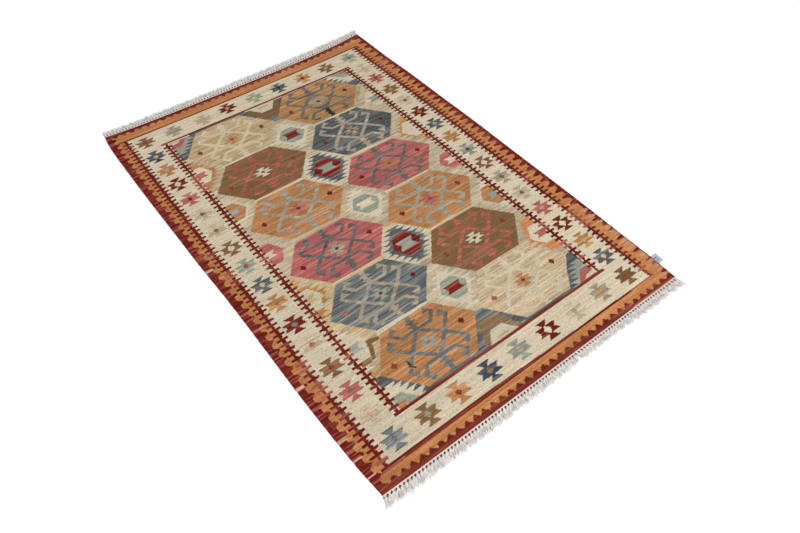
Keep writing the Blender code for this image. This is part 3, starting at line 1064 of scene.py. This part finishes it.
class Finish:
    """A material that is being put together."""

    MIX_FACTOR, MIX_A, MIX_B, MIX_RESULT = 0, 6, 7, 2

    def __init__(self, name, **constants):
        self.material = bpy.data.materials.new(name)
        self.material.use_nodes = True
        self.tree = self.material.node_tree
        self.shader = self.tree.nodes["Principled BSDF"]
        for socket, value in constants.items():
            self.shader.inputs[socket.replace("_", " ")].default_value = value

    def node(self, kind, settings, wires, output=0):
        made = self.tree.nodes.new(kind)
        for setting, value in settings.items():
            setattr(made, setting, value)
        for place, value in wires.items():
            if isinstance(value, Wire):
                self.tree.links.new(value.socket, made.inputs[place])
            else:
                made.inputs[place].default_value = value
        return Wire(self, made.outputs[output])

    def attribute(self, name, output="Color"):
        return self.node("ShaderNodeAttribute", {"attribute_name": name}, {}, output)

    def place(self):
        """The three coordinates of a point on the piece, in metres."""
        whole_place = self.node("ShaderNodeTexCoord", {}, {}, "Object")
        return [self.node("ShaderNodeSeparateXYZ", {}, {0: whole_place}, i) for i in range(3)]

    def noise(self, x, y, z, detail=2.0):
        vector = self.node("ShaderNodeCombineXYZ", {}, {0: x, 1: y, 2: z})
        wires = {"Vector": vector, "Scale": 1.0, "Detail": detail}
        return self.node("ShaderNodeTexNoise", {"noise_dimensions": "3D"}, wires)

    def mix(self, factor, first, second, blend="MIX"):
        settings = {"data_type": "RGBA", "blend_type": blend}
        wires = {self.MIX_FACTOR: factor, self.MIX_A: first, self.MIX_B: second}
        return self.node("ShaderNodeMix", settings, wires, self.MIX_RESULT)

    def scaled(self, colour, amount):
        settings = {"operation": "SCALE"}
        return self.node("ShaderNodeVectorMath", settings, {"Vector": colour, "Scale": amount})

    def feed(self, socket, wire):
        self.tree.links.new(wire.socket, self.shader.inputs[socket])

    def bump(self, height, distance, strength=1.0):
        wires = {"Height": height, "Distance": distance, "Strength": strength}
        self.feed("Normal", self.node("ShaderNodeBump", {}, wires))


# %% [markdown]
# ## Wool
#
# The wool is dyed in the hank and spun by hand, so the colour changes along the yarn. In the
# cloth that shows as streaks across the rug, a few rows high, which weavers call abrash. The
# streaks are noise that is squeezed along the weft. The bump has the warp ribs, the rows of weft
# that ride over them, and a little fuzz.

# %% Wool finish
STREAK_CONTRAST = 2.2
FADED_WOOL = (0.15, 0.11, 0.095)     # what the lightest streaks add to the yarn's colour
ROUND_RIB = 0.6                      # below 1 the ribs are plump and the grooves between are narrow
WEAVE_DEPTH = 0.0006                 # metres


def wool_finish():
    """Streaky dyed wool in a ribbed flat weave."""
    wool = Finish("woven_wool_dyed", Roughness=0.95, Specular_IOR_Level=0.08)
    x, y, _ = wool.place()
    dyed = wool.attribute("dye")
    streaky = wool.attribute("dye", "Alpha")
    number = wool.attribute("skein", "Fac")
    # the larger a factor, the finer the noise: along the weft, and then across it
    thin = wool.noise(x * 8.0, y * 210.0, number).between(0.36, 0.64)
    medium = wool.noise(x * 5.0 + 31.0, y * 90.0, number).between(0.36, 0.64)
    broad = wool.noise(x * 2.0, y * 34.0 + 17.0, number).between(0.30, 0.70)
    slub = wool.noise(x * 110.0, y * 300.0, 3.0)
    grain = wool.noise(x * 260.0, y * 330.0, 7.0, 1.0)

    # how much each of them counts, and how far a streaky yarn strays from its own colour
    streaks = (thin - 0.5) * 0.85 + (medium - 0.5) * 0.6 + (broad - 0.5) * 0.35
    dark_or_light = STREAK_CONTRAST ** (streaks * streaky) * 0.96
    tone = dark_or_light + (slub - 0.5) * 0.95 + (grain - 0.5) * 0.9
    colour = wool.scaled(dyed, tone)
    faded = wool.scaled(FADED_WOOL, streaks.between(0.05, 0.95) * streaky)
    colour = wool.node("ShaderNodeVectorMath", {"operation": "ADD"}, {0: colour, 1: faded})
    wool.feed("Base Color", colour)

    chart_place = wool.node("ShaderNodeUVMap", {"uv_map": "OFBake"}, {})
    u, v = (wool.node("ShaderNodeSeparateXYZ", {}, {0: chart_place}, i) for i in range(2))
    rib = ((u - BAKE_MARGIN) * (math.pi * COLUMNS / MAPPED)).sine().size() ** ROUND_RIB
    row = ((v - BAKE_MARGIN) * (math.pi * ROWS / MAPPED)).sine()
    height = rib * 0.7 + row * 0.15 + thin * 0.4 + grain * 0.5
    wool.bump(height, WEAVE_DEPTH, 0.7)
    return wool.material


cloth_mesh.materials.append(wool_finish())
print("wool finish:", len(cloth_mesh.materials[0].node_tree.nodes), "nodes")

# %% [markdown]
# ## Fringe
#
# The warp threads are white cotton. At each end they come out of the cloth under a twined cord,
# run together to a knot, five of them to each, and hang free below it as a small tassel. Every
# strand is a tube along its own path, so the holes between the legs are real ones. The tassels
# lean, as if they had been brushed aside. The lowest threads are painted dark as painted shade of
# the others, and flat threads laid under the tassels show that painted shade in the gaps.

# %% Tubes
def tube(shape, path, radii, sides=5, flat=1.0):
    """A closed tube along a path of points. flat is its height as a share of its width."""
    rings = []
    count = len(path)
    for i, (point, radius) in enumerate(zip(path, radii)):
        heading = (path[min(i + 1, count - 1)] - path[max(i - 1, 0)]).normalized()
        side = heading.cross(Vector((0, 0, 1)))
        side = side.normalized() if side.length > 0.01 else Vector((1, 0, 0))
        rise = side.cross(heading)
        rings.append([
            shape.verts.new(
                point
                + side * (radius * math.cos(math.tau * k / sides))
                + rise * (radius * flat * math.sin(math.tau * k / sides))
            )
            for k in range(sides)
        ])
    for first, second in zip(rings, rings[1:]):
        for k in range(sides):
            after = (k + 1) % sides
            shape.faces.new((first[k], first[after], second[after], second[k]))
    shape.faces.new(rings[0][::-1])
    shape.faces.new(rings[-1])


def finish_shape(name, shape, material, frame_node):
    """Turn a bmesh into a smooth piece that stands for its frame node."""
    bmesh.ops.recalc_face_normals(shape, faces=shape.faces)
    mesh = bpy.data.meshes.new(name)
    shape.to_mesh(mesh)
    shape.free()
    for polygon in mesh.polygons:
        polygon.use_smooth = True
    mesh.materials.append(material)
    piece = bpy.data.objects.new(name, mesh)
    bpy.context.scene.collection.objects.link(piece)
    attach(piece, "root")
    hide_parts(frame_node)
    print(f"{name}: {sum(len(p.vertices) - 2 for p in mesh.polygons)} triangles")
    return piece


# %% Sizes of the fringe
TASSELS = 95
# the cord, in metres: its distance from the cloth, its height, how far its plies swing, their radius
HEADER_GAP, HEADER_HEIGHT = 0.0014, 0.0024
PLY_ASIDE, PLY_RISE, PLY_RADIUS = 0.0009, 0.0006, 0.00095
HEADER_STEPS, STEPS_PER_TURN = 800, 5.4
# the legs and the knot: where they leave the cord, how far out the knot is, and its two wraps
FEET = (-0.0053, -0.0027, 0.0, 0.0027, 0.0053)
FOOT_OUT, FOOT_HEIGHT = 0.0018, 0.0018
LEG_BOW, LEG_END = 0.12, 0.2         # shares of a foot's place: a leg's bow, and its place at the knot
LEG_RADII = (0.00105, 0.00105, 0.0011)
KNOT_AT, KNOT_STRAY, KNOT_HEIGHT = 0.0070, 0.001, 0.0023
WRAPS = (-0.0010, 0.0009)
WRAP_STEPS, WRAP_RADIUS = 8, 0.00085
WRAP_ACROSS, WRAP_SLANT, WRAP_RISE = 0.0020, 0.0004, 0.0013
# the loose threads, and the flat dark ones laid under them to carry painted shade
STRAND = 0.00080
TAILS, UNDER_TAILS = 10, 4
TAIL_STEPS, UNDER_STEPS = 7, 3
TAIL_REACH, UNDER_REACH = (0.84, 1.05), (0.55, 0.82)     # shares of the tassel's length
TAIL_WIDTH, TAIL_FAN, TAIL_STRAY = 0.0054, 0.0030, 0.0018
TAIL_TOP, TAIL_LOWEST, TAIL_PILE = 0.0021, 0.0013, 0.0013
TAIL_WAVE, WAVE_ANGLE = 0.0007, 6.0  # sideways wave, and how far its sine runs, in radians
WIDEN_FAST = 6             # a tassel has its full width after one part in this many of its length
UNDER_START, UNDER_GAP = 0.0022, 0.0031
UNDER_LOWEST, UNDER_RISE = 0.0004, 0.0005
UNDER_RADII = (0.0019, 0.0019, 0.0017, 0.0008)
UNDER_FLAT = 0.22
LEAN_CURVE = 1.3           # above 1 a tassel leans most at its tip
SLOW_SWAY, SLOW_STEP = 0.0015, 0.35
QUICK_SWAY, QUICK_STEP = 0.0007, 1.9
LENGTH_SPREAD, LENGTH_STEP = 0.0030, 2.3
# share across the end, then how far the near and the far tassel tips lean to the right, in metres
LEAN_ROWS = (
    (0.00, -0.018, 0.002), (0.03, -0.022, 0.002), (0.06, -0.020, 0.002), (0.12, -0.018, 0.002),
    (0.21, -0.014, 0.002), (0.35, -0.016, 0.006), (0.45, -0.011, 0.014), (0.52, -0.011, 0.017),
    (0.59, -0.012, 0.020), (0.61, 0.005, 0.020), (0.69, -0.003, 0.020), (0.76, -0.009, 0.021),
    (0.82, -0.007, 0.024), (0.92, -0.014, 0.022), (0.94, -0.010, 0.021), (0.96, 0.003, 0.019),
    (1.00, 0.003, 0.015),
)
print("tassels at each end:", TASSELS)


# %% Tassels
def edge_point(share, end):
    """Point on the cloth's near (0) or far (1) edge at a share of the way across."""
    x, y = lay(np.array([share * CHART_WIDTH]), np.array([end * CHART_LENGTH]))
    return float(x[0]), float(y[0])


def make_header(shape, end, out):
    """The two plies of the twined cord along the cloth's edge."""
    for ply in (0, math.pi):
        path = []
        for i in range(HEADER_STEPS + 1):
            x, y = edge_point(i / HEADER_STEPS, end)
            turn = math.tau * i / STEPS_PER_TURN + ply
            path.append(Vector((x, y + out * (HEADER_GAP + PLY_ASIDE * math.cos(turn)),
                                HEADER_HEIGHT + PLY_RISE * math.sin(turn))))
        tube(shape, path, [PLY_RADIUS] * len(path))


def make_legs(shape, root, knot, out):
    """Five warp ends that leave the cord and run together to the knot, and two wraps round it."""
    for foot in FEET:
        start = Vector((root.x + foot, root.y + out * FOOT_OUT, FOOT_HEIGHT))
        middle = start.lerp(knot, 0.5)
        middle.x += foot * LEG_BOW
        end_at = knot + Vector((foot * LEG_END, 0, 0))
        tube(shape, [start, middle, end_at], LEG_RADII)
    for wrap in WRAPS:
        path = []
        for k in range(WRAP_STEPS + 1):
            turn = math.tau * k / WRAP_STEPS
            path.append(knot + Vector((WRAP_ACROSS * math.cos(turn),
                                       out * wrap + WRAP_SLANT * math.sin(turn),
                                       WRAP_RISE * math.sin(turn))))
        tube(shape, path, [WRAP_RADIUS] * len(path))


def make_tails(shape, root, knot, out, length, lean, chance):
    """The loose threads below a knot, and the flat threads laid under them, which carry painted shade.
    """
    for k in range(TAILS):
        spread = (k - (TAILS - 1) / 2) / (TAILS / 2)
        reach = length * chance.uniform(*TAIL_REACH)
        aside = lean + spread * TAIL_FAN + chance.uniform(-TAIL_STRAY, TAIL_STRAY)
        wave = chance.uniform(0, math.tau)
        level = TAIL_LOWEST + TAIL_PILE * chance.random()
        path, radii = [], []
        for step in range(TAIL_STEPS + 1):
            t = step / TAIL_STEPS
            away = KNOT_AT + (reach - KNOT_AT) * t
            path.append(Vector((
                root.x + aside * (away / length) ** LEAN_CURVE
                + spread * TAIL_WIDTH * min(1, WIDEN_FAST * t)
                + TAIL_WAVE * math.sin(wave + WAVE_ANGLE * t) * t,
                root.y + out * away,
                level + (TAIL_TOP - level) * (1 - t) ** 2,
            )))
            radii.append(STRAND * (1.0 - 0.5 * t ** 2))
        tube(shape, path, radii)
    # flat threads low under the tassel, where they take the painted shade and darken the gaps
    for k in range(UNDER_TAILS):
        spread = (k - (UNDER_TAILS - 1) / 2) * UNDER_GAP
        reach = length * chance.uniform(*UNDER_REACH)
        path = []
        for step in range(UNDER_STEPS + 1):
            away = UNDER_START + (reach - UNDER_START) * step / UNDER_STEPS
            path.append(Vector((
                root.x + lean * (away / length) ** LEAN_CURVE + spread, root.y + out * away,
                UNDER_LOWEST + UNDER_RISE * step / UNDER_STEPS)))
        tube(shape, path, UNDER_RADII, 4, UNDER_FLAT)


def make_fringe(name, end, length_column, lean_column):
    """The twined header cord and the row of knotted tassels at one end."""
    out = -1 if end == 0 else 1
    chance = random.Random(11 + end)
    shape = bmesh.new()
    cord = shape.verts.layers.float.new("cord")
    make_header(shape, end, out)
    for point in shape.verts:
        point[cord] = 1.0
    for i in range(TASSELS):
        share = (i + 0.5) / TASSELS
        root = Vector((*edge_point(share, end), 0.0))
        length = float(read_rows(END_ROWS, length_column, share))
        length += LENGTH_SPREAD * math.sin(LENGTH_STEP * i)
        lean = float(read_rows(LEAN_ROWS, lean_column, share))
        lean += SLOW_SWAY * math.sin(SLOW_STEP * i) + QUICK_SWAY * math.sin(QUICK_STEP * i)
        aside = lean * (KNOT_AT / length) ** LEAN_CURVE
        knot_out = KNOT_AT + chance.uniform(-KNOT_STRAY, KNOT_STRAY)
        knot = root + Vector((aside, out * knot_out, KNOT_HEIGHT))
        make_legs(shape, root, knot, out)
        make_tails(shape, root, knot, out, length, lean, chance)
    return finish_shape(name + "_yarn", shape, cotton, name)


# %% Cotton finish
CLEAN = (0.82, 0.77, 0.72, 1.0)
WORN = (0.58, 0.54, 0.51, 1.0)
# painted shade: the colour given to low threads in place of the shade of those above them
PAINTED_SHADE = (0.12, 0.105, 0.10, 1.0)
STAINED = (0.86, 0.66, 0.58, 1.0)
# the painted shade is full below the first height and gone above the second
SHADED_BELOW, LIT_ABOVE = 0.0008, 0.0018     # metres off the floor


def cotton_finish():
    """Off-white cotton, greyer where it is worn, with painted shade on low threads that face up, and
    pinkish in the cord.
    """
    yarn = Finish("twisted_cotton", Roughness=0.9, Specular_IOR_Level=0.15)
    x, y, z = yarn.place()
    ply = yarn.noise(x * 900.0 + y * 500.0, y * 420.0, z * 900.0)
    dust = yarn.noise(x * 130.0, y * 60.0, 5.0, 3.0)
    colour = yarn.mix((dust * 0.9 + ply * 0.4).between(0.45, 0.85), CLEAN, WORN)
    facing = yarn.node("ShaderNodeNewGeometry", {}, {}, "Normal")
    upward = yarn.node("ShaderNodeSeparateXYZ", {}, {0: facing}, 2)
    # painted shade: low faces that look up are painted dark; faces that look down get none
    painted_shade_mask = (1 - z.between(SHADED_BELOW, LIT_ABOVE)) * upward.between(-0.3, 0.1)
    colour = yarn.mix(painted_shade_mask, colour, PAINTED_SHADE)
    colour = yarn.mix(yarn.attribute("cord", "Fac"), colour, STAINED)
    yarn.feed("Base Color", colour)
    yarn.bump(ply, 0.0004, 0.6)
    return yarn.material


cotton = cotton_finish()
fringe_near = make_fringe("fringe_near", 0, TASSEL_NEAR, 1)
fringe_far = make_fringe("fringe_far", 1, TASSEL_FAR, 2)

# %% [markdown]
# ## Label
#
# A short length of satin ribbon is folded in half and sewn into the right side, near the near
# right corner. It curls up a little. It is bare but for two woven stripes.

# %% Ribbon
LABEL_NEAR, LABEL_FAR = 0.0680, 0.1060
LABEL_REACH = 0.0240
LABEL_GAP = 0.0004         # from the cloth's edge to the ribbon
RIBBON = 0.0004            # thickness of one layer
FOLD_GAP = 0.0005          # how far apart the layers lie where they are sewn in
CURL = 0.0030              # how far the fold curls up
PINCH = 0.08               # share by which the fold is narrower than the sewn end
GROUND = (0.40, 0.45, 0.55, 1.0)
STRIPE = (0.10, 0.16, 0.28, 1.0)


def ribbon_finish():
    """Pale satin ribbon with two thin blue stripes."""
    satin = Finish("satin_ribbon", Roughness=0.45, Sheen_Weight=0.2, Specular_IOR_Level=0.4)
    x, y, _ = satin.place()
    ridge = satin.noise(x * 300.0, y * 2600.0, 2.0, 1.0)
    place = y - (-LENGTH / 2 + (LABEL_NEAR + LABEL_FAR) / 2)
    # a stripe is where the distance from its middle line is under its half width
    near_stripe = 1 - (place + 0.006).size().between(0.0016, 0.0022)
    far_stripe = 1 - (place - 0.005).size().between(0.0030, 0.0036)
    inset = 1 - (x - (WIDTH / 2 + 0.018)).size().between(0.0058, 0.0066)
    colour = satin.mix((near_stripe + far_stripe) * inset * 0.9, GROUND, STRIPE)
    satin.feed("Base Color", satin.mix(0.25, colour, satin.scaled(colour, 0.7 + ridge * 0.6)))
    satin.bump(ridge, 0.0002, 0.4)
    return satin.material


def make_label():
    """Two layers of ribbon with a fold at the outer edge."""
    shape = bmesh.new()
    steps_out, steps_along = 14, 16
    rows = []
    for j in range(steps_along + 1):
        v = j / steps_along
        y = -LENGTH / 2 + LABEL_NEAR + (LABEL_FAR - LABEL_NEAR) * v
        start_x = WIDTH / 2 + LABEL_GAP
        start_x += float(read_rows(SIDE_ROWS, RIGHT_OUT, (y + LENGTH / 2) / LENGTH))
        row = []
        for side in (0, 1):
            steps = range(steps_out + 1) if side == 0 else range(steps_out, -1, -1)
            for i in steps:
                u = i / steps_out
                curl = CURL * u ** 2 * (0.35 + 0.65 * (v - 0.4) ** 2 * 4)
                gap = FOLD_GAP * (1 - u ** 4) * side + RIBBON * side
                row.append(shape.verts.new((
                    start_x + LABEL_REACH * u,
                    y + (0.5 - v) * (LABEL_FAR - LABEL_NEAR) * PINCH * u,
                    LIFT + curl + gap,
                )))
        rows.append(row)
    count = len(rows[0])
    for first, second in zip(rows, rows[1:]):
        for i in range(count):
            after = (i + 1) % count
            shape.faces.new((first[i], first[after], second[after], second[i]))
    for row in (rows[0], rows[-1]):
        half = count // 2
        for i in range(half - 1):
            shape.faces.new((row[i], row[i + 1], row[count - 2 - i], row[count - 1 - i]))
    return finish_shape("label_ribbon", shape, ribbon_finish(), "label")


label = make_label()

# %% Tell the frame what the pieces are
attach(cloth, "root")
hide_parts("rug")

# %% [markdown]
# ## Floor, light and camera
#
# A near-white floor and a very soft light, so that the colours are the wool's own. The camera
# stands at the near left of the rug and looks down at it. Its lens and its place were worked out
# from where the four corners of the cloth are in the photograph.

# %% Floor
FLOOR_HALF, FLOOR_LEVEL = 7.0, -0.0003
FLOOR_COLOUR = (0.96, 0.96, 0.96, 1.0)
WHITE = (1.0, 1.0, 1.0, 1.0)


def make_floor():
    """A plain pale floor just under the rug, which glows a little, as one in a bright room does."""
    shape = bmesh.new()
    corners = [shape.verts.new((sx * FLOOR_HALF, sy * FLOOR_HALF, FLOOR_LEVEL))
               for sx, sy in ((-1, -1), (1, -1), (1, 1), (-1, 1))]
    shape.faces.new(corners)
    mesh = bpy.data.meshes.new("floor")
    shape.to_mesh(mesh)
    shape.free()
    paint = Finish("floor_paint", Roughness=0.9)
    paint.shader.inputs["Base Color"].default_value = FLOOR_COLOUR
    paint.shader.inputs["Emission Color"].default_value = WHITE
    paint.shader.inputs["Emission Strength"].default_value = 0.10
    mesh.materials.append(paint.material)
    made = bpy.data.objects.new("floor", mesh)
    bpy.context.scene.collection.objects.link(made)


make_floor()
print("floor:", 2 * FLOOR_HALF, "m square")

# %% Light
scene = bpy.context.scene
world = bpy.data.worlds.new("studio")
world.use_nodes = True
world.node_tree.nodes["Background"].inputs["Color"].default_value = WHITE
world.node_tree.nodes["Background"].inputs["Strength"].default_value = 0.90
scene.world = world
scene.view_settings.view_transform = "Standard"


def soft_light(name, place, aim, size, power):
    """A large square lamp that looks at a point."""
    lamp = bpy.data.lights.new(name, "AREA")
    lamp.size = size
    lamp.energy = power
    holder = bpy.data.objects.new(name, lamp)
    holder.location = place
    holder.rotation_mode = "QUATERNION"
    holder.rotation_quaternion = (Vector(aim) - Vector(place)).to_track_quat("-Z", "Y")
    scene.collection.objects.link(holder)


soft_light("key", (-1.6, -2.4, 2.6), (-0.2, -0.5, 0), 2.0, 45)
print("lamps:", [lamp.name for lamp in bpy.data.lights])

# %% Camera
view = bpy.data.cameras.new("camera")
view.lens = 31.142
view.sensor_width = 36.0
camera = bpy.data.objects.new("camera", view)
camera.matrix_world = Matrix((
    (0.78908682, 0.46884619, -0.39689449, -1.00225),
    (-0.61421702, 0.61157651, -0.49870996, -1.46155),
    (0.00891308, 0.63730481, 0.77056028, 1.77473),
    (0.0, 0.0, 0.0, 1.0),
))
scene.collection.objects.link(camera)
scene.camera = camera
print(f"camera: {camera.matrix_world.translation.length:.2f} m from the middle of the rug")
